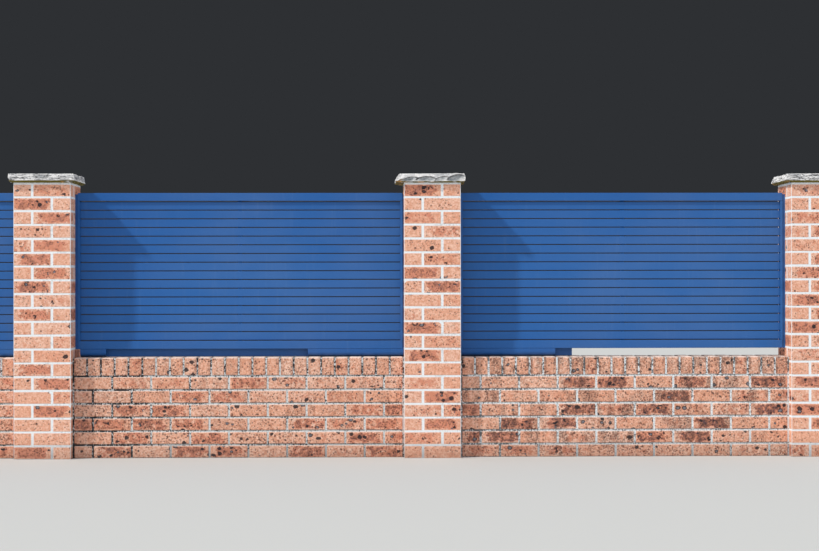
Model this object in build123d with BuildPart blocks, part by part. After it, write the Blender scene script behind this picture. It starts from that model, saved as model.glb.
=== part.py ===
from build123d import *

import os
from math import cos, radians, sin

# Brick garden wall in three bays: brick piers with pitched stone caps, low brick walls between them
# finished with a brick-on-edge coping, and a slatted metal panel over each low wall.
# Millimetres, +Z up, X along the wall, the street side toward -Y.
# The origin is on the ground in the middle of the wall's length and thickness.

# One brick and its mortar joints
brick_length = 230
brick_width = 110
brick_height = 76
upright_joint = 10
bed_joint = 9

# Layout of the wall
bay_count = 3
half_bricks_per_bay = 17
pier_course_count = 20
wall_course_count = 6

# Stone cap on each pier
cap_overhang = 30
cap_thickness = 55
cap_joint_recess = 4
cap_bottom_inset = 12
cap_waist_inset = 3
cap_waist_share = 0.33
cap_belly_share = 0.64
cap_top_inset = 7
cap_side_points = 5
cap_point_spread = 0.9
cap_chip_depths = (0, 4, 1, 5, 2)

# Slatted panel: two rails, two stiles of channel section and the slats between
panel_rise = 50
panel_headroom = 55.9
rail_height = 50
rail_depth = 40
rail_edge_radius = 3
stile_width = 14
stile_wall = 2.5
slat_height = 49
least_slat_gap = 5
slat_thickness = 16
slat_edge_chamfer = 1.5
side_gap = 12
panel_shifts = (4, 4, -6)

# Bar behind the slats at the middle of each panel
stiffener_width = 25

# Channels that fix the panels to the piers
channel_setback = 6
channel_wall = 2
channel_top_drop = 8

# Closers under the panels, flush with the rail and rolled under at the front
long_closer = 600
short_closer = 162
closer_roll_radius = 32
closer_end_chamfer = 1.5

# Boards screwed to the back of the bottom rails
board_thickness = 16
board_overlap = 45
board_clearance = 2
board_on_rail = 25
board_edge_radius = 2
offcut_board_reach = 109

# Sizes worked out from the ones above
course_pitch = brick_height + bed_joint
half_brick_pitch = (brick_length + upright_joint) / 2
pier_side = brick_length + upright_joint + brick_width
clear_bay = half_bricks_per_bay * half_brick_pitch + upright_joint
pier_pitch = clear_bay + pier_side
pier_height = pier_course_count * course_pitch - bed_joint
wall_thickness = 2 * brick_width + upright_joint
stretcher_height = wall_course_count * course_pitch
coping_height = brick_width
wall_top = stretcher_height + coping_height
cap_bottom = pier_height + bed_joint
panel_bottom = wall_top + panel_rise
panel_top = cap_bottom - panel_headroom
slats_height = panel_top - panel_bottom - 2 * rail_height
slat_count = int((slats_height - least_slat_gap) / (slat_height + least_slat_gap))
slat_gap = (slats_height - slat_count * slat_height) / (slat_count + 1)
panel_width = clear_bay - 2 * side_gap
rail_front = -rail_depth / 2
rail_back = rail_depth / 2
slat_back = slat_thickness / 2
channel_depth = rail_depth - 2 * channel_setback

pier_centres = [(number - bay_count / 2) * pier_pitch for number in range(bay_count + 1)]
bay_centres = [(number - (bay_count - 1) / 2) * pier_pitch for number in range(bay_count)]

os.makedirs("parts", exist_ok=True)


def cap_outline(centre, inset, turn):
    """Points round a stone cap at one level: each side is chipped back unevenly."""
    half = pier_side / 2 + cap_overhang
    points = []
    for side in range(4):
        heading = radians(90 * side)
        for step in range(cap_side_points):
            chip = cap_chip_depths[(step + turn + side) % len(cap_chip_depths)]
            along = half * cap_point_spread * (2 * step / (cap_side_points - 1) - 1)
            out = half - inset - chip
            x = out * cos(heading) - along * sin(heading)
            y = out * sin(heading) + along * cos(heading)
            points.append((centre + x, y))
    return points


# Piers, each with its mortar bed and its stone cap
cap_levels = (
    (0, cap_bottom_inset),
    (cap_waist_share, cap_waist_inset),
    (cap_belly_share, 0),
    (1, cap_top_inset),
)
for number, centre in enumerate(pier_centres, start=1):
    with BuildPart() as pier:
        with BuildSketch():
            with Locations((centre, 0)):
                Rectangle(pier_side, pier_side)
        extrude(amount=pier_height)
    pier.part.label = f"pier_{number}"
    export_step(pier.part, f"parts/pier_{number}.step")

    with BuildPart() as cap_bed:
        with BuildSketch(Plane.XY.offset(pier_height)):
            with Locations((centre, 0)):
                Rectangle(pier_side - 2 * cap_joint_recess, pier_side - 2 * cap_joint_recess)
        extrude(amount=bed_joint)
    cap_bed.part.label = f"cap_bed_{number}"
    export_step(cap_bed.part, f"parts/cap_bed_{number}.step")

    with BuildPart() as pier_cap:
        for level, (share, inset) in enumerate(cap_levels):
            with BuildSketch(Plane.XY.offset(cap_bottom + share * cap_thickness)):
                with BuildLine():
                    Polyline(*cap_outline(centre, inset, number + 2 * level), close=True)
                make_face()
        loft(ruled=True)
    pier_cap.part.label = f"pier_cap_{number}"
    export_step(pier_cap.part, f"parts/pier_cap_{number}.step")

# Low walls between the piers, and the brick-on-edge coping on each
for number, centre in enumerate(bay_centres, start=1):
    with BuildPart() as low_wall:
        with BuildSketch():
            with Locations((centre, 0)):
                Rectangle(clear_bay, wall_thickness)
        extrude(amount=stretcher_height)
    low_wall.part.label = f"low_wall_{number}"
    export_step(low_wall.part, f"parts/low_wall_{number}.step")

    with BuildPart() as coping:
        with BuildSketch(Plane.XY.offset(stretcher_height)):
            with Locations((centre, 0)):
                Rectangle(clear_bay, wall_thickness)
        extrude(amount=coping_height)
    coping.part.label = f"coping_{number}"
    export_step(coping.part, f"parts/coping_{number}.step")

# Slatted panels, their stiffening bars and the channels that fix them to the piers
first_slat = panel_bottom + rail_height + slat_gap + slat_height / 2
slat_levels = [first_slat + row * (slat_height + slat_gap) for row in range(slat_count)]
rail_levels = (panel_bottom + rail_height / 2, panel_top - rail_height / 2)
for number, centre in enumerate(bay_centres, start=1):
    shift = panel_shifts[(number - 1) % len(panel_shifts)]
    panel_centre = centre + shift
    panel_left = panel_centre - panel_width / 2
    panel_right = panel_centre + panel_width / 2

    with BuildPart() as slat_panel:
        with BuildSketch(Plane.YZ.offset(panel_left)):
            with Locations(*[(0, level) for level in rail_levels]):
                RectangleRounded(rail_depth, rail_height, rail_edge_radius)
        extrude(amount=panel_width)
        with BuildSketch(Plane.XY.offset(panel_bottom + rail_height)):
            for end in (-1, 1):
                stile_centre = panel_centre + end * (panel_width - stile_width) / 2
                with Locations((stile_centre, 0)):
                    Rectangle(stile_width, rail_depth)
                with Locations((stile_centre - end * stile_wall, 0)):
                    Rectangle(stile_width, rail_depth - 2 * stile_wall, mode=Mode.SUBTRACT)
        extrude(amount=slats_height)
        with BuildSketch(Plane.YZ.offset(panel_left + stile_wall)) as slat_sections:
            with Locations(*[(0, level) for level in slat_levels]):
                Rectangle(slat_thickness, slat_height)
            chamfer(slat_sections.vertices(), slat_edge_chamfer)
        extrude(amount=panel_width - 2 * stile_wall)
    slat_panel.part.label = f"slat_panel_{number}"
    export_step(slat_panel.part, f"parts/slat_panel_{number}.step")

    with BuildPart() as stiffener:
        with BuildSketch(Plane.XY.offset(panel_bottom + rail_height)):
            with Locations((centre, (slat_back + rail_back) / 2)):
                Rectangle(stiffener_width, rail_back - slat_back)
        extrude(amount=slats_height)
    stiffener.part.label = f"stiffener_{number}"
    export_step(stiffener.part, f"parts/stiffener_{number}.step")

    for side, end in (("left", -1), ("right", 1)):
        channel_width = side_gap - end * shift
        pier_face = centre + end * clear_bay / 2
        channel_centre = pier_face - end * channel_width / 2
        with BuildPart() as side_channel:
            with BuildSketch(Plane.XY.offset(panel_bottom)):
                with Locations((channel_centre, 0)):
                    Rectangle(channel_width, channel_depth)
                with Locations((channel_centre - end * channel_wall, 0)):
                    Rectangle(channel_width, channel_depth - 2 * channel_wall, mode=Mode.SUBTRACT)
            extrude(amount=panel_top - channel_top_drop - panel_bottom)
        side_channel.part.label = f"side_channel_{number}_{side}"
        export_step(side_channel.part, f"parts/side_channel_{number}_{side}.step")

# Closers under the panels: a short one at the left and a long one at the right,
# but the last bay has a long one at the left and stays open at the right
last_bay = bay_count
for number, centre in enumerate(bay_centres, start=1):
    shift = panel_shifts[(number - 1) % len(panel_shifts)]
    stile_inside_left = centre + shift - panel_width / 2 + stile_width
    bay_left = centre - clear_bay / 2
    bay_right = centre + clear_bay / 2
    if number == last_bay:
        closers = [("left", bay_left, long_closer)]
    else:
        closers = [
            ("left", stile_inside_left, short_closer),
            ("right", bay_right - long_closer, long_closer),
        ]
    for side, start, length in closers:
        with BuildPart() as closer:
            with BuildSketch(Plane.YZ.offset(start)) as closer_section:
                with Locations((0, wall_top + panel_rise / 2)):
                    Rectangle(rail_depth, panel_rise)
                front_low = closer_section.vertices().group_by(Axis.Z)[0].sort_by(Axis.Y)[0]
                fillet(front_low, closer_roll_radius)
            extrude(amount=length)
            chamfer(closer.faces().filter_by(Axis.X).edges(), closer_end_chamfer)
        closer.part.label = f"closer_{number}_{side}"
        export_step(closer.part, f"parts/closer_{number}_{side}.step")

    # The board behind spans between the closers and laps them, or is an offcut in the last bay
    if number == last_bay:
        board_start = bay_left + long_closer - 2 * board_overlap
        board_end = bay_left + long_closer + offcut_board_reach
    else:
        board_start = stile_inside_left + short_closer - board_overlap
        board_end = bay_right - long_closer + board_overlap
    board_low = wall_top + board_clearance
    board_high = panel_bottom + board_on_rail
    with BuildPart() as backing_board:
        with BuildSketch(Plane.YZ.offset(board_start)):
            with Locations((rail_back + board_thickness / 2, (board_low + board_high) / 2)):
                RectangleRounded(board_thickness, board_high - board_low, board_edge_radius)
        extrude(amount=board_end - board_start)
    backing_board.part.label = f"backing_board_{number}"
    export_step(backing_board.part, f"parts/backing_board_{number}.step")
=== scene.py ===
# %% [markdown]
# # A brick garden wall with slatted panels
# The wall runs in bays: brick piers under rough stone caps, with a low brick wall and a blue slatted
# panel between each two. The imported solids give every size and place. This lesson dresses them: it
# lays each brick, splits the stone, builds the metal panels and gives each surface a finish made of
# nodes. The solids are loaded first, and their box is kept, for the dressed wall to stay inside.

import random
from math import pi, radians, sqrt

import bpy
from mathutils import Euler, Matrix, Vector


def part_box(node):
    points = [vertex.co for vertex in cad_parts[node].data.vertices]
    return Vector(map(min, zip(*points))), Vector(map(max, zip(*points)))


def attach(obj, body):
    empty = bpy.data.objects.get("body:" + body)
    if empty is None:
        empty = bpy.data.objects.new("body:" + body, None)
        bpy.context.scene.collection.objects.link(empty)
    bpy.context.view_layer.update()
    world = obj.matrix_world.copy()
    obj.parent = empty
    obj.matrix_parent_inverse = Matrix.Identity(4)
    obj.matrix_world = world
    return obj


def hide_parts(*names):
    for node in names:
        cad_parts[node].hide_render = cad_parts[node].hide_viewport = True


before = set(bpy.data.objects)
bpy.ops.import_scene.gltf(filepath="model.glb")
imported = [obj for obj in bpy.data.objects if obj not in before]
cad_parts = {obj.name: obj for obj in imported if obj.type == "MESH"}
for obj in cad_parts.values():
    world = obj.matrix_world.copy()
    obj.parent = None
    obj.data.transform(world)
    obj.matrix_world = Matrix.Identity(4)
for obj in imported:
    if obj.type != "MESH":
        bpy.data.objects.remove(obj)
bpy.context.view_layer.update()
bpy.ops.object.select_all(action="DESELECT")
random.seed(27)

# %% [markdown]
# ## The camera
# The wall was seen from the street, almost square on, by an eye 1.1 m above the ground and 10.7 m
# away. The lens follows from how wide the bricks look. A long lens like this one keeps the courses
# nearly parallel, so a small error of turn or tilt would show at once: both are set in degrees.

# %% The camera
eye = (0.850, -10.672, 1.109)
lens_mm = 74.8
film_width_mm = 36
turn_right_deg = 1.134
tilt_up_deg = 0.097
roll_deg = -0.08
sight_limit = 500

bpy.ops.object.camera_add(location=eye)
camera = bpy.context.object
camera.data.lens = lens_mm
camera.data.sensor_width = film_width_mm
camera.data.clip_end = sight_limit
camera.rotation_euler = Euler((radians(90 + tilt_up_deg), 0, -radians(turn_right_deg)))
camera.rotation_euler.rotate_axis("Z", radians(roll_deg))
bpy.context.scene.camera = camera
print("camera at", eye, "lens", lens_mm)

# %% [markdown]
# ## Small tools for modelling
# Each piece starts as a primitive at its size and place and is then shaped in edit mode. The helpers
# take a box, pick the edges that matter, round them, and join the copies of a repeated piece. The
# place of a piece is kept in its mesh, so patterns on it stay where they are when the wall is moved.

# %% Helpers for blocks, edges and copies
tiny = 1e-5


def enter(mode):
    bpy.ops.object.mode_set(mode=mode)


def take(*pieces):
    """Selects these pieces alone, with the first one active, or nothing."""
    bpy.ops.object.select_all(action="DESELECT")
    for piece in pieces:
        piece.select_set(True)
        bpy.context.view_layer.objects.active = pieces[0]


def add_block(name, low, high):
    take()
    low, high = Vector(low), Vector(high)
    bpy.ops.mesh.primitive_cube_add(size=1, location=(low + high) / 2, scale=high - low)
    bpy.ops.object.transform_apply(location=True, rotation=True, scale=True)
    piece = bpy.context.object
    piece.name = piece.data.name = name
    return piece


def pick(piece, kind, wanted):
    """Enters edit mode with only the wanted edges or faces selected."""
    enter("EDIT")
    bpy.ops.mesh.select_mode(type=kind)
    bpy.ops.mesh.select_all(action="DESELECT")
    enter("OBJECT")
    for item in piece.data.edges if kind == "EDGE" else piece.data.polygons:
        item.select = wanted(item)
    enter("EDIT")


def pick_edges(piece, wanted):
    """Selects the edges whose two ends pass the test."""
    pick(piece, "EDGE", lambda edge: wanted(*[piece.data.vertices[index].co for index in edge.vertices]))


def pick_faces(piece, wanted):
    """Selects the faces whose normal passes the test."""
    pick(piece, "FACE", lambda face: wanted(face.normal))


def looks_up_or_down(normal):
    return abs(normal.z) > 0.5


def round_edges(piece, radius, segments, wanted=lambda start, end: True):
    """Rounds the wanted edges of a piece."""
    pick_edges(piece, wanted)
    bpy.ops.mesh.bevel(offset=radius, segments=segments, affect="EDGES")
    enter("OBJECT")


def add_modifier(piece, kind, **settings):
    """Adds a modifier, sets it and applies it."""
    take(piece)
    bpy.ops.object.modifier_add(type=kind)
    modifier = piece.modifiers[-1]
    for name, value in settings.items():
        setattr(modifier, name, value)
    bpy.ops.object.modifier_apply(modifier=modifier.name)


def copy_piece(piece, place):
    """A copy with a mesh of its own, moved and turned by a matrix."""
    twin = piece.copy()
    twin.data = piece.data.copy()
    twin.data.transform(place)
    bpy.context.collection.objects.link(twin)
    return twin


def join(pieces, name):
    """Makes one piece of several."""
    take(*pieces)
    bpy.ops.object.join()
    pieces[0].name = pieces[0].data.name = name
    return pieces[0]


def smooth(piece, angle_deg=40):
    """Smooth shading that leaves large flat faces flat."""
    take(piece)
    bpy.ops.object.shade_smooth_by_angle(angle=radians(angle_deg))
    add_modifier(piece, "WEIGHTED_NORMAL", keep_sharp=True)


print("helpers for blocks, edges and copies are ready")

# %% [markdown]
# ## Small tools for finishes
# A finish here is a material built from nodes that read the piece's own coordinates in metres, so
# every size below is a real one: a noise of 0.02 has lumps of about two centimetres. Two classes keep
# the node calls short. Colours are written as on a screen, 0 to 255, and turned into linear values.

# %% Helpers for finishes
def colour(red, green, blue):
    """A screen colour as the shader's linear one."""
    parts = [part / 255 for part in (red, green, blue)]
    return (*[p / 12.92 if p <= 0.04045 else ((p + 0.055) / 1.055) ** 2.4 for p in parts], 1)


class Nodes:
    """A node tree with short ways to add nodes to it."""

    def __init__(self, tree):
        self.tree = tree

    def add(self, kind, inputs=(), **settings):
        """Adds a node, sets it, and puts values or other nodes' outputs into its inputs."""
        node = self.tree.nodes.new("ShaderNode" + kind)
        for name, value in settings.items():
            setattr(node, name, value)
        for name, value in dict(inputs).items():
            self.put(node.inputs[name], value)
        return node

    def put(self, socket, value):
        if isinstance(value, bpy.types.NodeSocket):
            self.tree.links.new(value, socket)
        else:
            socket.default_value = value

    def math(self, operation, first, *others):
        """Works on one value, or on several in turn."""
        for other in others or (0.0,):
            first = self.add("Math", {0: first, 1: other}, operation=operation).outputs[0]
        return first

    def plus(self, *values):
        return self.math("ADD", *values)

    def times(self, *values):
        return self.math("MULTIPLY", *values)

    def most(self, *values):
        return self.math("MAXIMUM", *values)

    def vector(self, operation, first, second):
        return self.add("VectorMath", {0: first, 1: second}, operation=operation).outputs[0]

    def split(self, vector):
        return self.add("SeparateXYZ", {"Vector": vector}).outputs


class Finish(Nodes):
    """A material with short ways to add patterns to it."""

    def __init__(self, name, roughness, shine=0.5):
        self.material = bpy.data.materials.new(name)
        self.material.use_nodes = True
        super().__init__(self.material.node_tree)
        self.shader = self.tree.nodes["Principled BSDF"]
        self.shader.inputs["Roughness"].default_value = roughness
        self.shader.inputs["Specular IOR Level"].default_value = shine
        self.here = self.add("TexCoord").outputs["Object"]

    def height(self):
        return self.split(self.here)[2]

    def facing(self):
        """1 where the surface faces up, 0 where it stands upright and -1 where it faces down."""
        return self.split(self.add("NewGeometry").outputs["Normal"])[2]

    def remembered(self, name, output="Color"):
        """What a piece remembers at its points."""
        return self.add("Attribute", attribute_name=name).outputs[output]

    def noise(self, size, detail=3.0, where=None, stretch=(1, 1, 1), roughness=0.55):
        """Lumps of about one size; stretch makes them longer along an axis."""
        where = self.stretched(where or self.here, stretch)
        inputs = {"Vector": where, "Scale": 1 / size, "Detail": detail, "Roughness": roughness}
        return self.add("TexNoise", inputs).outputs["Fac"]

    def stretched(self, where, stretch):
        if stretch == (1, 1, 1):
            return where
        scale = tuple(1 / part for part in stretch)
        return self.add("Mapping", {"Vector": where, "Scale": scale}).outputs["Vector"]

    def cells(self, size, where):
        """Scattered points: the distance to the nearest one and three random numbers for each."""
        node = self.add("TexVoronoi", {"Vector": where, "Scale": 1 / size})
        return node.outputs["Distance"], self.split(node.outputs["Color"])

    def between(self, value, low, high, start=0.0, end=1.0):
        """Goes softly from start to end while the value goes from low to high."""
        inputs = {"Value": value, "From Min": low, "From Max": high, "To Min": start, "To Max": end}
        return self.add("MapRange", inputs, interpolation_type="SMOOTHSTEP").outputs["Result"]

    def mix(self, share, first, second):
        return self.add("Mix", {0: share, 6: first, 7: second}, data_type="RGBA").outputs[2]

    def paint(self, value):
        self.put(self.shader.inputs["Base Color"], value)

    def bump(self, height, depth):
        """Raises the surface by a height map, over any bump before; depth is in metres."""
        surface = self.shader.inputs["Normal"]
        before = {"Normal": link.from_socket for link in surface.links}
        inputs = {"Height": height, "Distance": depth, "Strength": 1.0, **before}
        self.put(surface, self.add("Bump", inputs).outputs["Normal"])


def dress(piece, finish, slot, *nodes):
    """Gives a piece its finish, hangs it on the wall's body and hides the solids it replaces; slot is not
    used.
    """
    piece.data.materials.clear()
    piece.data.materials.append(finish.material)
    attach(piece, "root")
    if nodes:
        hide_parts(*nodes)


print("helpers for finishes are ready")

# %% [markdown]
# ## One brick
# The bricks are pressed clay, 230 x 110 x 76 mm, with arrises worn round by handling, more so in the
# low walls than in the piers. A brick is a block whose edges are rounded with two segments: the wall
# needs hundreds, so more would be wasted. Some bricks have a knocked corner, and a bat is a brick cut
# across its middle. Each brick remembers its own coordinates in an attribute before it is laid, so
# that its burnt centre stays in its centre wherever it goes.

# %% The brick, a chipped brick and a bat
brick_size = Vector((0.230, 0.110, 0.076))
joint = 0.010
pier_arris = (0.003, 0.0042)
wall_arris = (0.0052, 0.0058)
arris_segments = 2
chip = 0.010


def remember_place(brick):
    place = brick.data.attributes.new("brick_place", "FLOAT_VECTOR", "POINT")
    place.data.foreach_set("vector", [part for point in brick.data.vertices for part in point.co])


def round_brick(brick, long_arris, upright_arris):
    """Rounds the upright arrises first and then the long ones."""
    upright = lambda start, end: abs(start.z - end.z) > brick_size.z / 2
    round_edges(brick, upright_arris, arris_segments, upright)
    along_bed = lambda start, end: abs(start.z - end.z) < tiny and abs(start.z) > brick_size.z / 2 - tiny
    round_edges(brick, long_arris, arris_segments, along_bed)
    remember_place(brick)


def cut_brick(brick, place, direction):
    enter("EDIT")
    bpy.ops.mesh.select_all(action="SELECT")
    bpy.ops.mesh.bisect(plane_co=place, plane_no=direction, use_fill=True, clear_outer=True)
    enter("OBJECT")


def mould_bricks(use, long_arris, upright_arris):
    """A whole brick, one with a knocked corner and a bat."""
    whole = add_block(f"{use}_brick", -brick_size / 2, brick_size / 2)
    round_brick(whole, long_arris, upright_arris)
    chipped = add_block(f"{use}_chipped", -brick_size / 2, brick_size / 2)
    corner = Vector((brick_size.x, -brick_size.y, brick_size.z)) / 2
    cut_brick(chipped, corner * (1 - chip / corner.length), (1, -1, 1))
    round_edges(chipped, long_arris, arris_segments)
    remember_place(chipped)
    bat = add_block(f"{use}_bat", -brick_size / 2, brick_size / 2)
    cut_brick(bat, (-joint / 2, 0, 0), (1, 0, 0))
    round_brick(bat, long_arris, upright_arris)
    return {"whole": whole, "chipped": chipped, "bat": bat}


pier_bricks = mould_bricks("pier", *pier_arris)
wall_bricks = mould_bricks("wall", *wall_arris)
print("faces:", [(kind.name, len(kind.data.polygons)) for kind in pier_bricks.values()])

# %% [markdown]
# ## Laying bricks
# No two bricks sit quite alike. Each copy is laid with a small random shift and turn, but its face
# stays within a fraction of a millimetre, as a bricklayer's line keeps it. It also gets a mood in a
# colour attribute: how deep its clay is, how strongly its middle was burnt in the kiln, and how
# stained it is. One finish then serves every brick, instead of hundreds of materials.

# %% Laying one brick
place_error = 0.0010
face_error = 0.0002
tilt_error_deg = 0.25
turn_error_deg = 0.06
strong_burn = (0.55, 1.0)
faint_burn = (0.0, 0.36)
chipped_share = 0.06
on_edge = Matrix(((0, 0, 1), (1, 0, 0), (0, 1, 0)))


def lay(kind, centre, turn, mood):
    """Lays a copy of a brick with its centre at a place."""
    slack = (face_error, face_error, place_error)
    centre = Vector(centre) + Vector([random.uniform(-part, part) for part in slack])
    angles = (turn_error_deg, tilt_error_deg, turn_error_deg)
    wobble = Euler([radians(random.uniform(-angle, angle)) for angle in angles])
    turn = (wobble.to_matrix() @ turn).to_quaternion()
    brick = copy_piece(kind, Matrix.LocRotScale(centre, turn, None))
    store = brick.data.attributes.new("brick_mood", "FLOAT_COLOR", "POINT")
    store.data.foreach_set("color", [*mood, 1.0] * len(brick.data.vertices))
    return brick


def any_mood(burnt_share, stain=0.0):
    """A random depth of clay, burn and stain."""
    strong, faint = random.uniform(*strong_burn), random.uniform(*faint_burn)
    burn = strong if random.random() < burnt_share else faint
    return (random.random(), burn, stain * random.random())


def any_brick(bricks):
    return bricks["chipped" if random.random() < chipped_share else "whole"]


print("a brick can be laid within", place_error, "m and", tilt_error_deg, "degrees")

# %% [markdown]
# ## The piers
# A pier is four bricks a course, each one running past the end of the next like the arms of a
# windmill, round a core of mortar. The next course turns the other way, so every face shows a whole
# brick beside a brick's end, changing sides as it goes up. The burnt faces at the front of the two
# middle piers were spread one by one, so their courses are named, counted from the top.

# %% Laying the piers
bed_joint = 0.009
course = brick_size.z + bed_joint
flush_recess = 0.0005
bed_swelling = 0.003
end_first_piers = (2,)
pier_numbers = (1, 2, 3, 4)
burnt_courses = {2: (1, 2, 4, 5, 6, 7, 9, 13, 14, 16, 19), 3: (0, 6, 7, 10, 12, 15, 17)}
pier_burnt_share = 0.4


def lay_pier(number):
    """Lays every course of one pier and pours its mortar."""
    low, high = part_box(f"pier_{number}")
    middle = (low.x + high.x) / 2
    half = (high.x - low.x) / 2
    course_count = round((high.z - low.z + bed_joint) / course)
    arm = Vector((-(half - brick_size.x / 2), -(half - brick_size.y / 2), 0))
    bricks = []
    for row in range(course_count):
        from_top = course_count - 1 - row
        way = 1 if (from_top + (number in end_first_piers)) % 2 == 0 else -1
        for quarter in range(4):
            turn = Matrix.Rotation(radians(way * 90 * quarter), 3, "Z")
            spot = turn @ Vector((way * arm.x, arm.y, 0))
            spot += Vector((middle, 0, row * course + brick_size.z / 2))
            share = pier_burnt_share
            if number in burnt_courses and quarter == 0:
                share = 1.0 if from_top in burnt_courses[number] else 0.0
            bricks.append(lay(any_brick(pier_bricks), spot, turn, any_mood(share)))
    bricks = join(bricks, f"pier_{number}_bricks")
    inset = Vector((flush_recess, flush_recess, 0))
    bed = Vector((0, 0, bed_joint + bed_swelling))
    mortar = add_block(f"pier_{number}_mortar", low + inset, high - inset + bed)
    return bricks, mortar


piers = [lay_pier(number) for number in pier_numbers]
print("faces in the piers:", [len(bricks.data.polygons) for bricks, _ in piers])

# %% [markdown]
# ## The low walls
# A low wall is two skins of long bricks with a mortar joint between them. The joints of one course
# fall over the middles of the bricks below, so each course has one bat, at the left or at the right
# end in turn. On top, bricks stand on edge across the whole thickness and shed the rain.

# %% Laying the low walls
bay_numbers = (1, 2, 3)
bat_left_bays = (3,)
wall_recess = {1: 0.0027, 2: 0.0027, 3: 0.0020}
coping_recess = 0.0035
wall_burnt_share = {1: 0.42, 2: 0.42, 3: 0.45}
coping_burnt_share = 0.3
least_coping_joint = 0.009


def lay_course(number, row, low, high):
    bricks = []
    from_top = round((high.z - low.z) / course) - 1 - row
    bat_first = (from_top + (number in bat_left_bays)) % 2 == 1
    for side in (-1, 1):
        across = side * (high.y - brick_size.y / 2)
        start = low.x + joint
        piece_count = round((high.x - low.x - joint) / (brick_size.x + joint) + 0.5)
        for index in range(piece_count):
            is_bat = index == (0 if bat_first else piece_count - 1)
            length = (brick_size.x - joint) / 2 if is_bat else brick_size.x
            kind = wall_bricks["bat"] if is_bat else any_brick(wall_bricks)
            centre = (start + brick_size.x / 2, across, row * course + brick_size.z / 2)
            bricks.append(lay(kind, centre, Matrix.Identity(3), any_mood(wall_burnt_share[number], 1.0)))
            start += length + joint
    return bricks


def lay_coping(low, high):
    count = int((high.x - low.x) / (brick_size.z + least_coping_joint))
    gap = (high.x - low.x - count * brick_size.z) / (count + 1)
    bricks = []
    for index in range(count):
        along = low.x + gap + brick_size.z / 2 + index * (brick_size.z + gap)
        centre = (along, 0, (low.z + high.z) / 2)
        bricks.append(lay(any_brick(wall_bricks), centre, on_edge, any_mood(coping_burnt_share, 1.0)))
    return bricks


walls = []
for number in bay_numbers:
    low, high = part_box(f"low_wall_{number}")
    coping_low, coping_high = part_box(f"coping_{number}")
    rows = range(round((high.z - low.z) / course))
    stretchers = [brick for row in rows for brick in lay_course(number, row, low, high)]
    stretchers = join(stretchers, f"low_wall_{number}_bricks")
    coping = join(lay_coping(coping_low, coping_high), f"coping_{number}_bricks")
    inset = Vector((0, wall_recess[number], 0))
    top = Vector((0, 0, coping_recess))
    mortar = add_block(f"low_wall_{number}_mortar", low + inset, coping_high - inset - top)
    walls.append((stretchers, coping, mortar))
for kind in (*pier_bricks.values(), *wall_bricks.values()):
    bpy.data.objects.remove(kind)
print("bricks' points in the low walls:", [len(wall[0].data.vertices) for wall in walls])

# %% [markdown]
# ## The stone caps
# Each cap is a slab of pale sandstone whose edges were split off with a pitching chisel. Every blow
# leaves a shallow hollow with a sharp ridge round it, longer than high and often rising to one side.
# Seen from the end, the edge is undercut below and leans back above. The front of the third stone
# shows three large hollows in a row; the others fall at random. No two stones end alike at the left,
# and the veined stones broke into many small chips instead.

# %% The hollows of a stone
veined_caps = (2, 4)
undercut_share = {1: 0.15, 2: 0.25, 3: 0.11, 4: 0.25}
left_spread = {
    1: ((0.0, 0.004), (0.3, 0.008), (1.0, 0.0)),
    2: ((0.0, 0.004), (0.3, -0.004), (1.0, 0.006)),
    3: ((0.0, 0.022), (0.3, 0.026), (1.0, 0.010)),
    4: ((0.0, 0.006), (0.3, 0.010), (1.0, 0.002)),
}
front_hollows = {
    3: ((-0.142, 0.010, 0.058, 0.020, 0.012, 14), (-0.043, 0.013, 0.062, 0.023, 0.014, 5),
        (0.058, 0.015, 0.048, 0.019, 0.010, 14), (0.147, 0.021, 0.060, 0.026, 0.014, 12),
        (0.105, 0.003, 0.070, 0.009, 0.006, 0)),
}
hollow_levels = (0.2, 0.9)
hollow_lengths = (0.030, 0.085)
hollow_heights = (0.010, 0.024)
hollow_depths = (0.004, 0.012)
hollow_rises_deg = (-15, 15)
hollow_lean = 0.45
hollow_floor = 0.65
ridge_reach, ridge_width, ridge_fade = 0.92, 0.42, 3


def along_profile(profile, share):
    """The value of a profile at a share of the stone's height."""
    for (start, first), (end, last) in zip(profile, profile[1:]):
        if start <= share <= end:
            return first + (last - first) * (share - start) / (end - start)
    return profile[-1][1]


def edge_profile(undercut):
    """How far the edge stands back at each share of the height."""
    return ((0.0, 0.014), (undercut / 2, 0.005), (undercut, 0.0), (0.5, 0.001), (0.8, 0.004), (1.0, 0.008))


def random_hollows(half, thickness, size, count):
    """Hollows along one side: place, height, half sizes, depth and rise."""
    return [(random.uniform(-half, half), thickness * random.uniform(*hollow_levels),
             size * random.uniform(*hollow_lengths), size * random.uniform(*hollow_heights),
             size * random.uniform(*hollow_depths), random.uniform(*hollow_rises_deg)) for _ in range(count)]


def press(hollows, along, height):
    """How far the deepest hollow goes in at this place, and how near its upper ridge is."""
    deepest, ridge = 0.0, 0.0
    for middle, level, half_length, half_height, depth, rise_deg in hollows:
        spot = Matrix.Rotation(radians(-rise_deg), 2) @ Vector((along - middle, height - level))
        up = spot.y / half_height
        reach = (spot.x / half_length) ** 2 + up ** 2
        if reach < 1:
            deepest = max(deepest, depth * sqrt(1 - reach) * (hollow_floor + hollow_lean * up))
        ridge = max(ridge, min(1 - abs(reach - ridge_reach) / ridge_width, ridge_fade * up))
    return deepest, ridge


print("hollows pressed by name:", {number: len(hollows) for number, hollows in front_hollows.items()})
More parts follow.
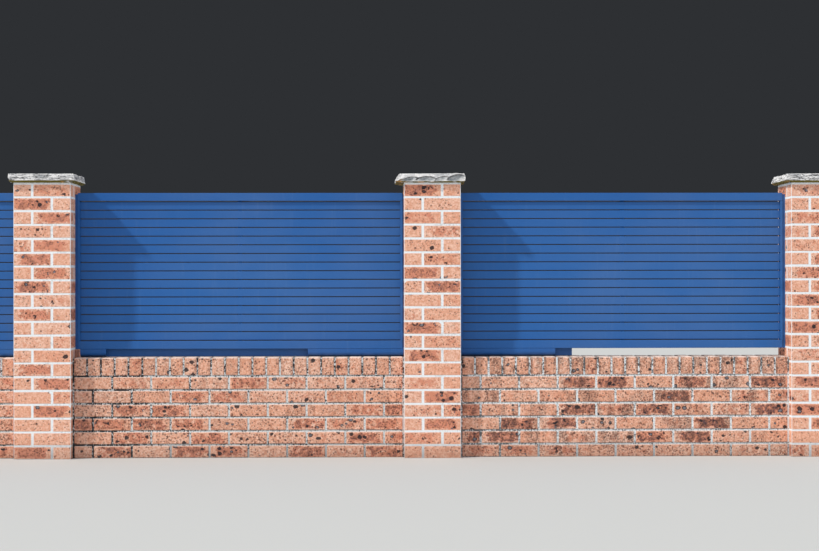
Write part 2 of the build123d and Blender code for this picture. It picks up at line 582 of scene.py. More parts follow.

# %% [markdown]
# ## Splitting the caps
# A fine grid is laid round the edge of a block, and its points are moved in: by the profile, by the
# hollows of their side, and by two noises that roughen what is left. The top and the bottom stay
# flat, apart from the lowest edge, which the mortar bed swells up to. How deep each point was pressed
# is kept in an attribute, because the hollows and their ridges get painted shade.

# %% Splitting the stone caps
cap_cells = 62
cap_layers = 12
cap_border = 0.020
hollows_per_side = 6
vein_chip_size = 0.55
vein_chips_per_side = 16
bowl_size, bowl_depth, bowl_middle = 0.080, 0.014, 0.72
lump_size, lump_depth, lump_middle = 0.020, 0.006, 0.5
lump_detail = 3
cap_crease_deg = 14


def grid_block(name, low, high):
    """A block with a fine grid round its edge and a border on its top and bottom."""
    cap = add_block(name, low, high)
    pick_faces(cap, looks_up_or_down)
    bpy.ops.mesh.delete(type="ONLY_FACE")
    enter("OBJECT")
    pick_edges(cap, lambda start, end: abs(start.z - end.z) < tiny)
    bpy.ops.mesh.subdivide(number_cuts=cap_cells)
    enter("OBJECT")
    pick_edges(cap, lambda start, end: abs(start.z - end.z) > tiny)
    bpy.ops.mesh.subdivide(number_cuts=cap_layers)
    bpy.ops.mesh.select_all(action="SELECT")
    bpy.ops.mesh.fill_holes(sides=0)
    bpy.ops.mesh.normals_make_consistent(inside=False)
    enter("OBJECT")
    pick_faces(cap, looks_up_or_down)
    bpy.ops.mesh.inset(thickness=cap_border, use_individual=True)
    enter("OBJECT")
    return cap


def roughen(cap, texture, size, depth, middle):
    """Moves the points of the rim out and in by a noise."""
    texture.noise_scale = size
    add_modifier(cap, "DISPLACE", texture=texture, strength=depth, mid_level=middle, vertex_group="rim",
                 texture_coords="LOCAL")


def split_cap(number):
    """Makes one cap: a grid round the edge, a leaning side, hollows and two noises."""
    low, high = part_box(f"pier_cap_{number}")
    cap = grid_block(f"pier_cap_{number}_stone", low, high)
    rim = cap.vertex_groups.new(name="rim")
    pressed = [[0.0, 0.0, 0.0, 1.0] for _ in cap.data.vertices]
    middle = (low + high) / 2
    half = (high.x - low.x) / 2
    thickness = high.z - low.z
    veined = number in veined_caps
    size, count = (vein_chip_size, vein_chips_per_side) if veined else (1.0, hollows_per_side)
    sides = [random_hollows(half, thickness, size, count) for _ in range(4)]
    sides[0] = front_hollows.get(number, sides[0])
    profile = edge_profile(undercut_share[number])
    for point in cap.data.vertices:
        offset = point.co - middle
        if max(abs(offset.x), abs(offset.y)) < half - cap_border / 2:
            continue
        rim.add([point.index], 1.0, "REPLACE")
        height = point.co.z - low.z
        inset = along_profile(profile, height / thickness)
        point.co.x = middle.x + offset.x * (1 - inset / half)
        point.co.y = middle.y + offset.y * (1 - inset / half)
        point.co.x -= along_profile(left_spread[number], height / thickness) * max(0.0, -offset.x / half) ** 3
        for side, hollows in enumerate(sides):
            out = Matrix.Rotation(radians(90 * side), 3, "Z") @ Vector((0, -1, 0))
            if offset.dot(out) > half - tiny:
                depth, ridge = press(hollows, offset.dot(Vector((-out.y, out.x, 0))), height)
                point.co -= out * depth
                pressed[point.index][:2] = depth / hollow_depths[1], ridge
        if height < bed_swelling:
            point.co.z += bed_swelling
    store = cap.data.attributes.new("stone_hollow", "FLOAT_COLOR", "POINT")
    store.data.foreach_set("color", [part for parts in pressed for part in parts])

    bowls = bpy.data.textures.new(f"bowls_{number}", "VORONOI")
    roughen(cap, bowls, bowl_size, bowl_depth, bowl_middle)
    lumps = bpy.data.textures.new(f"lumps_{number}", "CLOUDS")
    lumps.noise_depth = lump_detail
    roughen(cap, lumps, lump_size, lump_depth, lump_middle)
    smooth(cap, cap_crease_deg)
    return cap


caps = [split_cap(number) for number in pier_numbers]
print("faces of a cap:", len(caps[0].data.polygons))

# %% [markdown]
# ## The slatted panels
# A panel is an aluminium frame: a rail at the top and the bottom, an upright channel at each end,
# and sixteen flat slats let into the channels. One slat is a block with round edges, copied up the
# panel. The round edges matter more than their size suggests, because each one catches the sun in a
# thin bright line.

# %% Building the panels
rail_height = 0.050
stile_width = 0.014
metal_wall = 0.0025
slat_height = 0.049
slat_thickness = 0.016
least_slat_gap = 0.005
metal_radius = 0.003
metal_segments = 4


def open_channel(name, low, high, open_side, wall):
    """An upright channel: a box without its ends and without one side, given a wall."""
    piece = add_block(name, low, high)
    pick_faces(piece, lambda normal: looks_up_or_down(normal) or normal.x * open_side > 0.5)
    bpy.ops.mesh.delete(type="FACE")
    enter("OBJECT")
    add_modifier(piece, "SOLIDIFY", thickness=wall, offset=-1, use_even_offset=True)
    return piece


def build_slats(number, low, high):
    """The slats of one panel, and the height of each slat's middle."""
    opening = high.z - low.z - 2 * rail_height
    count = int(opening / (slat_height + least_slat_gap))
    gap = (opening - count * slat_height) / (count + 1)
    first = low.z + rail_height + gap
    half_depth = slat_thickness / 2
    slat = add_block("slat", (low.x + metal_wall, -half_depth, first),
                     (high.x - metal_wall, half_depth, first + slat_height))
    round_edges(slat, metal_radius, metal_segments, lambda start, end: abs(start.x - end.x) > slat_height)
    rises = [row * (slat_height + gap) for row in range(count)]
    slats = join([copy_piece(slat, Matrix.Translation((0, 0, rise))) for rise in rises], f"slats_{number}")
    bpy.data.objects.remove(slat)
    smooth(slats)
    return slats, [first + slat_height / 2 + rise for rise in rises]


def build_frame(number, low, high):
    """The two rails and the two upright channels that hold the slats."""
    parts = []
    for bottom in (low.z, high.z - rail_height):
        rail = add_block("rail", (low.x, low.y, bottom), (high.x, high.y, bottom + rail_height))
        round_edges(rail, metal_radius, metal_segments)
        parts.append(rail)
    for side, edge in ((1, low.x), (-1, high.x - stile_width)):
        parts.append(open_channel("stile", (edge, low.y, low.z + rail_height),
                                  (edge + stile_width, high.y, high.z - rail_height), side, metal_wall))
    panel_frame = join(parts, f"panel_frame_{number}")
    smooth(panel_frame)
    return panel_frame


panels = []
for number in bay_numbers:
    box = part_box(f"slat_panel_{number}")
    panels.append((*build_slats(number, *box), build_frame(number, *box)))
print("slats in each panel:", [len(middles) for _, middles, _ in panels])

# %% [markdown]
# ## Channels, stiffeners, closers and boards
# The channels screwed to the piers receive the panels. A flat bar behind the slats keeps them from
# sagging at mid span, fixed to each slat with a small hexagon head screw. Under the panel, closers
# with a rolled front edge and a board behind them fill most of the space over the low wall.

# %% The fixing pieces
channel_wall = 0.002
channel_radius = 0.0006
bar_radius = 0.0015
board_radius = 0.002
small_segments = 3
roll_radius = 0.032
roll_segments = 12
closer_crease_deg = 50


def build_bar(name, box, radius):
    bar = add_block(name, *box)
    round_edges(bar, radius, small_segments)
    smooth(bar)
    return bar


def build_channel(node):
    open_side = 1 if node.endswith("left") else -1
    piece = open_channel(node + "_section", *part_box(node), open_side, channel_wall)
    round_edges(piece, channel_radius, arris_segments)
    smooth(piece)
    return piece


def build_closer(node):
    low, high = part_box(node)
    piece = add_block(node + "_roll", low, high)
    middle = (low.z + high.z) / 2
    front_low = lambda start, end: max(start.y, end.y) < 0 and max(start.z, end.z) < middle
    round_edges(piece, roll_radius, roll_segments, front_low)
    round_edges(piece, bar_radius, arris_segments, lambda start, end: abs(start.x - end.x) < tiny)
    smooth(piece, closer_crease_deg)
    return piece


stiffeners = [build_bar(f"stiffener_{number}_bar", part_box(f"stiffener_{number}"), bar_radius)
              for number in bay_numbers]
channels = {node: build_channel(node) for node in sorted(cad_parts) if node.startswith("side_channel")}
closers = {node: build_closer(node) for node in sorted(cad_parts) if node.startswith("closer")}
boards = [build_bar(f"backing_board_{number}_board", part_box(f"backing_board_{number}"), board_radius)
          for number in bay_numbers]
print("channels:", len(channels), "closers:", len(closers), "boards:", len(boards))

# %% [markdown]
# ## Screws at the back
# One screw is a six-sided head on a round washer, modelled once. Copies go through the stiffener
# into every slat, and along the top of each board into the bottom rail.

# %% The screws
screw_head = 0.0055
screw_height = 0.0035
head_radius = 0.0006
washer_sides, washer_share = 16, 1.35
washer_thickness = 0.001
board_screw_pitch = 0.4
board_screw_end = 0.03
board_screw_drop = 0.0125


def add_prism(sides, radius, bottom, top):
    """A prism along Y between two depths."""
    take()
    bpy.ops.mesh.primitive_cylinder_add(vertices=sides, radius=radius, depth=top - bottom,
                                        location=(0, (bottom + top) / 2, 0), rotation=(-pi / 2, 0, 0))
    bpy.ops.object.transform_apply(location=True, rotation=True, scale=True)
    return bpy.context.object


def model_screw():
    """A hexagon head on a washer, pointing along +Y, with its seat at the origin."""
    washer = add_prism(washer_sides, screw_head * washer_share, 0, washer_thickness)
    head = add_prism(6, screw_head, washer_thickness, washer_thickness + screw_height)
    round_edges(head, head_radius, arris_segments, lambda start, end: min(start.y, end.y) > screw_height)
    return join([head, washer], "screw")


def screw_places(number, slat_middles):
    """Where the screws of one bay sit: up the stiffener and along the board."""
    low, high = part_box(f"stiffener_{number}")
    places = [((low.x + high.x) / 2, high.y, middle) for middle in slat_middles]
    low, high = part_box(f"backing_board_{number}")
    gaps = max(1, round((high.x - low.x) / board_screw_pitch))
    reach = high.x - low.x - 2 * board_screw_end
    return places + [(low.x + board_screw_end + reach * index / gaps, high.y, high.z - board_screw_drop)
                     for index in range(gaps + 1)]


screw = model_screw()
screw_rows = []
for number, (_, middles, _) in zip(bay_numbers, panels):
    screws = [copy_piece(screw, Matrix.Translation(place)) for place in screw_places(number, middles)]
    screw_rows.append(join(screws, f"screws_{number}"))
bpy.data.objects.remove(screw)
print("screws joined in", len(screw_rows), "rows")

# %% [markdown]
# ## Patterns of dots and places
# Specks and spots are made of cells: round a scattered point everything nearer than a limit is dark,
# and each point has its own limit, so no two are of one size. A fine noise pushes the coordinates
# about first, or the specks would be round dots. Dirt, painted shade and a painted sheen depend on
# the place along the bay.

# %% Patterns of dots and places
def push_about(look, where, size, reach):
    """The same coordinates pushed about a little, which makes round specks uneven."""
    push = look.add("TexNoise", {"Vector": where, "Scale": 1 / size, "Detail": 2.0}).outputs["Color"]
    push = look.add("Mapping", {"Vector": push, "Scale": (reach,) * 3, "Location": (-reach / 2,) * 3})
    return look.vector("ADD", where, push.outputs["Vector"])


def dots(look, where, size, smallest, growth, share):
    """Specks: cells of one size, of which a share has a dot, each with its own radius and depth."""
    near, (width, chosen, depth) = look.cells(size, where)
    limit = look.plus(smallest, look.times(width, growth))
    dot = look.times(look.math("LESS_THAN", near, limit), look.math("LESS_THAN", chosen, share))
    return look.times(dot, look.between(depth, 0, 1, 0.5, 1.0))


def share_of_bay(look):
    """How far along its bay a point lies, from the middle of one pier to that of the next."""
    first = sum((corner.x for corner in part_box("pier_1")), 0.0) / 2
    pitch = sum((corner.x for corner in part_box("pier_2")), 0.0) / 2 - first
    along = look.plus(look.split(look.here)[0], -first)
    return look.math("FRACT", look.math("DIVIDE", along, pitch))


print("patterns of dots and places are ready")

# %% [markdown]
# ## The clay of the bricks
# The clay is a light salmon full of fine brown specks. Here and there an iron spot has melted black,
# sometimes with a grey glassy middle. Where bricks were stacked face to face in the kiln, their
# middles burnt orange-red and then purple-brown inside a pale border, and the specks turned black.
# The burn follows the brick's own coordinates, so it never crosses a joint.

# %% Burn, specks and iron spots
clay_grain = colour(210, 139, 107)
burn_red = colour(216, 138, 114)
burn_dark = colour(112, 83, 84)
burn_black = colour(78, 46, 46)
speck_brown = colour(98, 62, 52)
iron_black = colour(40, 40, 46)
iron_grey = colour(116, 120, 128)
burn_shift = 0.16
ragged_size, ragged_reach = 0.028, 0.18
cloud_size = 0.030
stipple_dots = (0.0125, 0.22, 0.27)
grain_sizes = (0.016, 0.010)
spot_size, spot_stretch = 0.036, (1.2, 1.2, 1.0)
spot_radius, spot_growth = 0.15, 0.26
glassy_share, glassy_reach = 0.4, 0.65


def burn_clay(look, clay, own, uneven, tone, burn, faintest, darkest, dark_start):
    """Adds the kiln's burn: a soft red cloud, darker in its middle and stippled with black."""
    along, _, up = look.split(look.remembered("brick_place", "Vector"))
    along = look.math("DIVIDE", along, brick_size.x / 2)
    along = look.plus(along, look.between(tone, 0, 1, -burn_shift, burn_shift))
    up = look.math("DIVIDE", up, brick_size.z / 2)
    ragged = look.between(look.noise(ragged_size, 3, own), 0.3, 0.7, -ragged_reach, ragged_reach)
    reach_x = look.plus(look.math("ABSOLUTE", along), ragged)
    reach_z = look.plus(look.math("ABSOLUTE", up), ragged)
    core = look.times(look.between(reach_x, 0.98, 0.62), look.between(reach_z, 0.98, 0.54))
    cloud = look.between(look.noise(cloud_size, 3, own), 0.34, 0.64, faintest, 1.2)
    hot = look.times(core, burn, cloud)
    clay = look.mix(look.between(hot, 0.10, 0.40, 0.0, 0.9), clay, burn_red)
    clay = look.mix(look.between(hot, dark_start, dark_start + 0.3, 0.0, darkest), clay, burn_dark)
    stipple = dots(look, uneven, *stipple_dots, look.times(hot, 1.2))
    return look.mix(look.times(stipple, 0.85), clay, burn_black), hot


def speckle_clay(look, clay, own, uneven, hot, grain_depth, specks):
    """Adds the mottled grain, and specks of two sizes."""
    for size in grain_sizes:
        grain = look.between(look.noise(size, 2, own, roughness=0.7), 0.44, 0.60, 0.0, grain_depth)
        clay = look.mix(grain, clay, clay_grain)
    for size, smallest, growth, share in specks:
        speck = dots(look, uneven, size, smallest, growth, look.plus(share, look.times(hot, 0.5)))
        clay = look.mix(look.times(speck, 0.85), clay, speck_brown)
    return clay


def spot_clay(look, clay, own, share):
    """Adds iron spots with uneven outlines, some of them with a grey middle."""
    warp = look.between(look.noise(0.012, 3, own), 0.25, 0.75, -0.08, 0.08)
    near, (width, chosen, glassy) = look.cells(spot_size, look.stretched(own, spot_stretch))
    near = look.plus(near, warp)
    limit = look.plus(spot_radius, look.times(look.math("POWER", width, 1.3), spot_growth))
    spot = look.between(near, limit, look.plus(limit, -0.03))
    spot = look.times(spot, look.math("LESS_THAN", chosen, share))
    inner = look.math("LESS_THAN", near, look.times(limit, glassy_reach))
    middle = look.times(inner, look.math("GREATER_THAN", glassy, 1 - glassy_share))
    clay = look.mix(look.times(spot, 0.92), clay, look.mix(middle, iron_black, iron_grey))
    return clay, spot


print("the kiln's burn, specks and iron spots are ready")

# %% [markdown]
# ## Dirt, painted shade and painted light on the bricks
# Rain leaves dirt in blotches that follow the grain, and splashes more against the foot of the wall.
# A thin dark line under each brick is partly dirt and partly painted shade. On the bricks on edge the
# dirt lies beside the joints, where water stands. Painted shade of each pier, with some dirt, darkens
# the first bricks of the bay beside its right side. Faces that look up get a painted highlight, which
# the direction of the surface tells.

# %% The brick finish
clay_light = colour(247, 206, 184)
clay_deep = colour(242, 187, 160)
clay_orange = colour(232, 148, 114)
# Painted highlight: faces that look up are painted with this lighter clay.
clay_painted_top_light = colour(244, 222, 210)
soot_and_shade = colour(56, 51, 52)
mood_spread = 9.0
unevenness = (0.006, 0.012)
blotch_size = 0.035
rain_size = 0.05
dirt_grain_size = 0.008
splash_top, splash_depth = 0.20, 0.35
smudge_size = 0.030
smudge_place = (brick_size.z * 0.20, brick_size.z * 0.40)
# The lower arris of each brick gets a thin dark line, partly dirt and partly painted shade.
arris_dirt_and_shade_place = (-0.0325, -0.0350)
# The share of the bay beside each pier's right side that gets the pier's painted shade, with some dirt.
pier_shade_and_dirt_reach = (0.22, 0.06)
relief_size, iron_height = 0.011, 0.0008
coping_bottom = coping_low.z


def soil_bricks(look, own, stain, stain_depth, pier_shade_and_dirt, arris_dirt_and_shade_depth):
    """How dark each place is: blotches, splashes and smudges of dirt, a line of dirt and painted shade under
    each brick, and painted shade beside the pier.
    """
    rain = look.noise(rain_size, 4, look.here, (1, 1, 3))
    grains = look.between(look.noise(dirt_grain_size, 3, own), 0.40, 0.60, 0.25, 1.0)
    stained = look.between(stain, 0.0, 1.0, 0.25, 1.0)
    grime = look.times(look.between(rain, 0.38, 0.60), stained, grains, stain_depth)
    splash = look.plus(look.height(), look.times(rain, 0.12))
    splash = look.between(splash, splash_top, 0.04, 0.0, splash_depth)
    up = look.split(look.remembered("brick_place", "Vector"))[2]
    side = look.between(look.math("ABSOLUTE", up), *smudge_place)
    smudge = look.between(look.noise(smudge_size, 3, own, (1, 1, 2.5)), 0.44, 0.56, 0.0, stain_depth)
    on_coping = look.between(look.height(), coping_bottom - 0.005, coping_bottom + 0.010)
    smudge = look.times(side, smudge, on_coping, look.between(grains, 0.25, 1.0, 0.55, 1.0))
    # A thin line of dirt and painted shade on the lower arris of each brick.
    arris_dirt_and_shade = look.between(up, *arris_dirt_and_shade_place, 0.0, arris_dirt_and_shade_depth)
    arris_dirt_and_shade = look.times(arris_dirt_and_shade, look.between(rain, 0.35, 0.60, 0.5, 1.0))
    # The last mask is painted shade of the pier, with some dirt, over the first bricks of the bay.
    return look.most(grime, splash, smudge, arris_dirt_and_shade, look.between(share_of_bay(look), *pier_shade_and_dirt_reach, 0.0, pier_shade_and_dirt))


def brick_finish(name, texture, burnt, spot_share, stain_depth, pier_shade_and_dirt, arris_dirt_and_shade_depth):
    """The clay of one stretch of brickwork, its dirt, and its painted shade and painted highlight."""
    grain_depth, relief, *specks = texture
    look = Finish(name, 0.9, shine=0.15)
    mood = look.remembered("brick_mood")
    tone, burn, stain = look.split(mood)
    own = look.vector("ADD", look.here, look.vector("MULTIPLY", mood, (mood_spread,) * 3))
    uneven = push_about(look, own, *unevenness)
    clay = look.mix(tone, clay_light, clay_deep)
    blotch = look.between(look.noise(blotch_size, 4, own), 0.50, 0.75)
    clay = look.mix(look.times(blotch, 0.5), clay, clay_orange)
    clay, hot = burn_clay(look, clay, own, uneven, tone, burn, *burnt)
    clay = speckle_clay(look, clay, own, uneven, hot, grain_depth, specks)
    clay, spot = spot_clay(look, clay, own, look.plus(spot_share, hot))
    # Painted highlight: faces that look up are painted lighter.
    clay = look.mix(look.between(look.facing(), 0.1, 0.6, 0.0, 0.85), clay, clay_painted_top_light)
    look.paint(look.mix(soil_bricks(look, own, stain, stain_depth, pier_shade_and_dirt, arris_dirt_and_shade_depth), clay, soot_and_shade))
    look.bump(look.noise(relief_size, 5, own), relief)
    look.bump(look.math("SUBTRACT", 1.0, spot), iron_height)
    return look


smooth_texture = (0.50, 0.0020, (0.0105, 0.20, 0.24, 0.34), (0.018, 0.12, 0.22, 0.16))
rough_texture = (0.55, 0.0045, (0.0130, 0.24, 0.24, 0.56), (0.018, 0.14, 0.24, 0.40))
pier_clay = brick_finish("pier_clay", smooth_texture, (0.45, 0.60, 0.60), 0.10, 0.0, 0.0, 0.30)
wall_clay = {1: brick_finish("wall_clay", rough_texture, (0.15, 0.70, 0.55), 0.20, 0.30, 0.22, 0.60),
             3: brick_finish("stained_wall_clay", rough_texture, (0.40, 1.00, 0.34), 0.22, 0.75, 0.08, 0.60)}
wall_clay[2] = wall_clay[1]
print("brick finishes:", pier_clay.material.name, [look.material.name for look in wall_clay.values()])

# %% [markdown]
# ## The finish of the mortar
# The piers are pointed flush in a nearly white cement. In the low walls the joints are raked back a
# little and hold crumbs of black dirt, with dark patches between the bricks on edge. Beside the left
# pier the dark is thicker, as painted shade of that pier with some dirt. A fine noise scatters the
# crumbs, and a wide one and the place along the bay say how many there are. The top of each raked bed
# joint gets a thin dark line, partly dirt and partly painted shade under the brick above. The height
# inside one course says where it is.

# %% The mortar finish
cement_white = colour(243, 246, 248)
cement_grey = colour(230, 232, 234)
wall_cement = colour(222, 224, 224)
wall_cement_grey = colour(186, 188, 188)
joint_black_dirt_and_shade = colour(46, 47, 50)
sand_size = 0.006
crumb_size = 0.0085
patch_size = 0.15
joint_top_dirt_and_shade_reach = (0.940, 0.975)


def mortar_finish(name, pale, grey, dirtiness, coping_dirt, raked):
    """Cement with black crumbs and painted shade; raked is 1 for joints that are raked back and 0 for flush
    ones.
    """
    look = Finish(name, 0.95, shine=0.1)
    height = look.height()
    cement = look.mix(look.between(look.noise(sand_size, 4), 0.35, 0.7), pale, grey)
    broad = look.between(look.noise(patch_size, 3), 0.3, 0.7, -0.08, 0.08)
    crumbs = look.plus(look.noise(crumb_size, 3, None, (1, 1, 1.4), 0.6), broad)
    # Painted shade of the left pier, with some dirt: more dark crumbs near it.
    pier_shade_and_dirt = look.between(share_of_bay(look), 0.06, 0.40, 0.13, -0.02)
    limit = 0.66 - dirtiness * 0.15
    patch = look.between(look.plus(crumbs, pier_shade_and_dirt), limit, limit + 0.06, 0.0, min(1.0, dirtiness + 0.2))
    coping = look.between(height, coping_bottom + 0.005, coping_bottom + 0.015)
    in_course = look.math("FRACT", look.math("DIVIDE", height, course))
    # A thin dark line at the top of each raked bed joint: partly dirt, partly painted shade under the brick
    # above.
    joint_top_dirt_and_shade = look.times(look.between(in_course, *joint_top_dirt_and_shade_reach), look.math("SUBTRACT", 1.0, coping),
                     look.between(crumbs, 0.38, 0.54, 0.3 * raked, 0.9 * raked))
    limit = 0.61 - coping_dirt * 0.12
    streak = look.times(coping, look.between(crumbs, limit, limit + 0.06, 0.0, coping_dirt))
    splash = look.between(look.plus(height, look.times(crumbs, 0.1)), 0.22, 0.02, 0.0, 0.6)
    look.paint(look.mix(look.most(patch, joint_top_dirt_and_shade, streak, splash), cement, joint_black_dirt_and_shade))
    look.bump(look.noise(0.005, 5), 0.0015)
    return look


pier_mortar = mortar_finish("pier_mortar", cement_white, cement_grey, 0.0, 0.0, 0)
wall_mortar = {
    1: mortar_finish("wall_mortar", wall_cement, wall_cement_grey, 0.85, 1.0, 1),
    3: mortar_finish("stained_wall_mortar", cement_white, wall_cement_grey, 0.65, 0.9, 1),
}
wall_mortar[2] = wall_mortar[1]
print("mortar finishes:", pier_mortar.material.name, [look.material.name for look in wall_mortar.values()])

# %% [markdown]
# ## The finish of the stone
# The caps are a pale grey sandstone with grey bands round the split edge, and two of the four have
# thin dark veins. The hollows get a bluish grey painted shade, and a dark painted shade line runs
# under the ridge above them. The lowest finger's breadth, where it faces down, is olive with patches
# of rust brown. The bands are a noise squeezed flat along the height, and the veins are drawn where
# such a noise passes through its middle value.

# %% The stone finish
stone_pale = colour(235, 232, 230)
stone_grey = colour(176, 177, 180)
# Painted shade colour for the hollows.
stone_painted_shade = colour(128, 135, 137)
# Dark veins, and the painted shade line under the ridges.
stone_dark_vein_and_shade = colour(62, 60, 60)
stone_olive = colour(104, 92, 8)
stone_rust = colour(186, 138, 72)
layer_size, layer_stretch = 0.060, (1.4, 1.4, 0.22)
hollow_shade_streak_size, hollow_shade_streak_stretch = 0.030, (1.6, 1.6, 0.6)
vein_size, vein_stretch = 0.045, (1.6, 1.6, 0.26)
vein_width = (0.060, 0.022)
olive_height = (0.021, 0.010)
stone_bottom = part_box("pier_cap_1")[0].z


def stone_finish(name, vein_depth, rust_start):
    look = Finish(name, 0.92, shine=0.2)
    facing = look.facing()
    hollow, ridge, _ = look.split(look.remembered("stone_hollow"))
    layers = look.noise(layer_size, 4, look.here, layer_stretch)
    stone = look.mix(look.between(layers, 0.50, 0.66, 0.0, 0.8), stone_pale, stone_grey)
    hollow_shade_streaks = look.between(look.noise(hollow_shade_streak_size, 3, look.here, hollow_shade_streak_stretch), 0.35, 0.65, 0.35, 1.0)
    # Painted shade in the hollows, broken into streaks.
    stone = look.mix(look.times(look.between(hollow, 0.05, 0.75), hollow_shade_streaks), stone, stone_painted_shade)
    # Painted shade: a dark line under each ridge.
    line = look.between(look.noise(0.022, 3), 0.38, 0.55, 0.5, 1.0)
    stone = look.mix(look.times(line, look.between(ridge, 0.20, 0.60)), stone, stone_dark_vein_and_shade)
    flow = look.noise(vein_size, 4, look.here, vein_stretch, 0.6)
    vein = look.between(look.math("ABSOLUTE", look.plus(flow, -0.5)), *vein_width)
    broken = look.between(look.noise(0.025, 3), 0.42, 0.58, 0.35, 1.0)
    upright = look.between(look.math("ABSOLUTE", facing), 0.85, 0.55, vein_depth * 0.2, vein_depth)
    stone = look.mix(look.times(vein, broken, upright), stone, stone_dark_vein_and_shade)
    stone = look.mix(look.between(look.noise(0.009, 3), 0.38, 0.62, 0.0, 0.5), stone, stone_grey)
    level = look.plus(look.height(), -stone_bottom)
    rusty = look.between(look.noise(0.07, 3), rust_start, rust_start + 0.12)
    under = look.times(look.between(facing, -0.08, -0.38), look.between(level, *olive_height))
    look.paint(look.mix(look.times(under, 0.96), stone, look.mix(rusty, stone_olive, stone_rust)))
    look.bump(look.noise(0.010, 5), 0.0030)
    look.bump(layers, 0.004)
    return look


plain_stone = stone_finish("plain_stone", 0.40, 0.54)
veined_stone = stone_finish("veined_stone", 0.95, 0.62)
cap_stone = {number: veined_stone if number in veined_caps else plain_stone for number in pier_numbers}
print("stone finishes:", plain_stone.material.name, veined_stone.material.name)

# %% [markdown]
# ## The finish of the metal
# The aluminium is powder coated in a satin mid blue. The coat has a very fine orange peel, and holds
# a film of dust that rain has drawn down. Away from the pier it is painted lighter, partly chalk and
# partly painted sheen, and faces that look down get painted shade. The changes are slow and weak: a
# coat like this looks flat, but never quite even.

# %% The paint finish
coat_blue = colour(37, 98, 168)
coat_deep = colour(18, 80, 152)
# Dust, and the painted sheen away from the pier.
coat_dust_and_sheen = colour(110, 136, 176)
# Painted shade for faces that look down.
coat_painted_underside_shade = colour(18, 36, 60)
slow_stretch = (1.4, 1, 0.8)
run_size, run_stretch = 0.02, (1, 1, 14)
peel_size, peel_height = 0.0016, 0.00004


def paint_finish(name, depth):
    look = Finish(name, 0.42, shine=0.3)
    wide = look.noise(0.9, 2, look.here, slow_stretch)
    coat = look.mix(look.between(wide, 0.3, 0.7, 0.0, 0.5 + depth), coat_blue, coat_deep)
    runs = look.noise(run_size, 4, look.here, run_stretch)
    coat = look.mix(look.times(look.between(runs, 0.55, 0.8), 0.10), coat, coat_dust_and_sheen)
    # Lighter away from the pier: partly chalk, partly painted sheen.
    chalk_and_painted_sheen = look.between(look.noise(0.45, 2, look.here, slow_stretch), 0.3, 0.7, 0.02, 0.20)
    coat = look.mix(look.times(chalk_and_painted_sheen, look.between(share_of_bay(look), 0.12, 0.45)), coat, coat_dust_and_sheen)
    # Painted shade: faces that look down are painted darker.
    look.paint(look.mix(look.between(look.facing(), -0.3, -0.9, 0.0, 0.8), coat, coat_painted_underside_shade))
    look.put(look.shader.inputs["Roughness"], look.between(look.noise(0.08, 4), 0.3, 0.7, 0.38, 0.50))
    look.bump(look.noise(peel_size, 2), peel_height)
    return look


panel_paint = paint_finish("panel_paint", 0.0)
fixing_paint = paint_finish("fixing_paint", 0.4)
print("paint finishes:", panel_paint.material.name, fixing_paint.material.name)

# %% [markdown]
# ## Putting the finishes on
# Each piece now gets its finish, rides with the wall's one body and takes the place of its plain
# solid. The mortar of a pier takes the place of the bed under its cap too, since it was pointed up
# to the stone in one go.

# %% Dressing every piece
for number, (bricks, mortar) in zip(pier_numbers, piers):
    dress(bricks, pier_clay, "brickwork", f"pier_{number}")
    dress(mortar, pier_mortar, "mortar", f"cap_bed_{number}")
for number, (stretchers, coping, mortar) in zip(bay_numbers, walls):
    dress(stretchers, wall_clay[number], "brickwork", f"low_wall_{number}")
    dress(coping, wall_clay[number], "brickwork", f"coping_{number}")
    dress(mortar, wall_mortar[number], "mortar")
for number, cap in zip(pier_numbers, caps):
    dress(cap, cap_stone[number], "cap_stone", f"pier_cap_{number}")
metalwork = zip(bay_numbers, panels, stiffeners, boards, screw_rows)
for number, (slats, _, panel_frame), bar, board, screws in metalwork:
    dress(slats, panel_paint, "panel_paint", f"slat_panel_{number}")
    dress(panel_frame, panel_paint, "panel_paint")
    dress(bar, panel_paint, "panel_paint", f"stiffener_{number}")
    dress(board, fixing_paint, "fixing_paint", f"backing_board_{number}")
    dress(screws, fixing_paint, "fixing_paint")
for node, piece in {**channels, **closers}.items():
    dress(piece, fixing_paint, "fixing_paint", node)

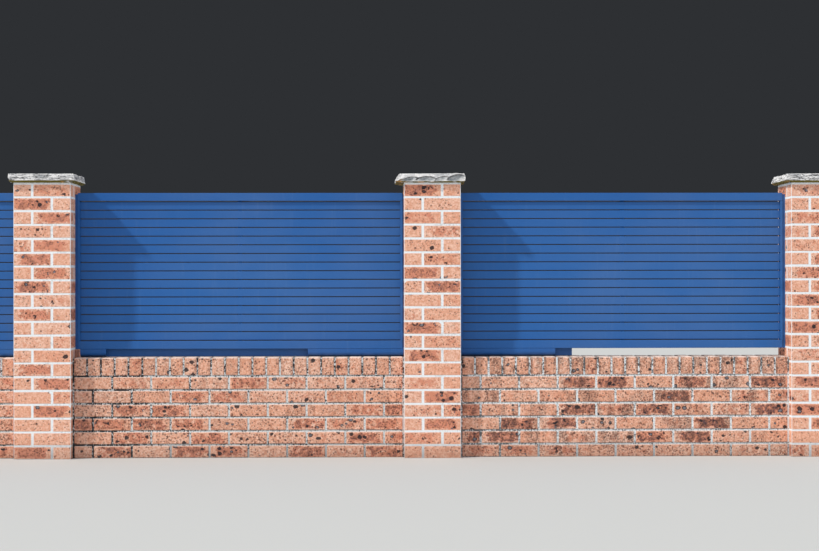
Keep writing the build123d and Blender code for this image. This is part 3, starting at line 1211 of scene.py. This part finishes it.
# %% [markdown]
# ## Floor, background and light
# The wall stands on a plain pale floor before a plain backdrop, darker than the paint, so the gaps
# between the slats read as dark lines, as they do with a garden behind. A soft sun far to the left
# rakes along the wall and shows every joint, speck and chip. The sky fills the shadows, and is a
# little brighter on the street side, like a large white reflector. Together they light an upright
# face at about the level at which a colour looks as it is written.

# %% Floor and sky
floor_radius = 18.0
floor_sides = 128
floor_colour = colour(196, 196, 194)
backdrop_colour = colour(46, 48, 51)
sky_strength = 0.69
sky_tint = (0.95, 0.985, 1.05, 1)
street_side_more = 0.20

take()
bpy.ops.mesh.primitive_circle_add(vertices=floor_sides, radius=floor_radius, fill_type="NGON")
floor = bpy.context.object
floor.name = "floor"
floor_look = Finish("floor_pale", 0.9)
floor_look.paint(floor_colour)
floor.data.materials.append(floor_look.material)

world = bpy.context.scene.world or bpy.data.worlds.new("sky")
bpy.context.scene.world = world
world.use_nodes = True
world.node_tree.nodes.clear()
sky = Nodes(world.node_tree)
garden_side = sky.split(sky.add("TexCoord").outputs["Generated"])[1]
strength = sky.plus(sky.times(garden_side, -street_side_more), sky_strength)
lighting = sky.add("Background", {"Color": sky_tint, "Strength": strength})
seen = sky.add("Background", {"Color": backdrop_colour})
rays = sky.add("LightPath").outputs
seen_rays = sky.most(*[rays[f"Is {kind} Ray"] for kind in ("Camera", "Glossy", "Transmission")])
chooser = sky.add("MixShader", {0: seen_rays, 1: lighting.outputs[0], 2: seen.outputs[0]})
sky.add("OutputWorld", {"Surface": chooser.outputs[0]})
print("floor radius", floor_radius, "sky", sky_strength)

# %% The sun
sun_strength = 2.8
sun_tint = (0.96, 0.945, 0.885)
sun_left_deg = 66
sun_height_deg = 45
sun_softness_deg = 2

bpy.ops.object.light_add(type="SUN", location=(-4, -6, 8))
sun = bpy.context.object
sun.name = "sun"
sun.data.energy = sun_strength
sun.data.color = sun_tint
sun.data.angle = radians(sun_softness_deg)
sun.rotation_euler = Euler((radians(90 - sun_height_deg), 0, -radians(sun_left_deg)))
bpy.context.scene.view_settings.view_transform = "Standard"
print("sun", sun_strength, "from", sun_left_deg, "degrees left and", sun_height_deg, "high")
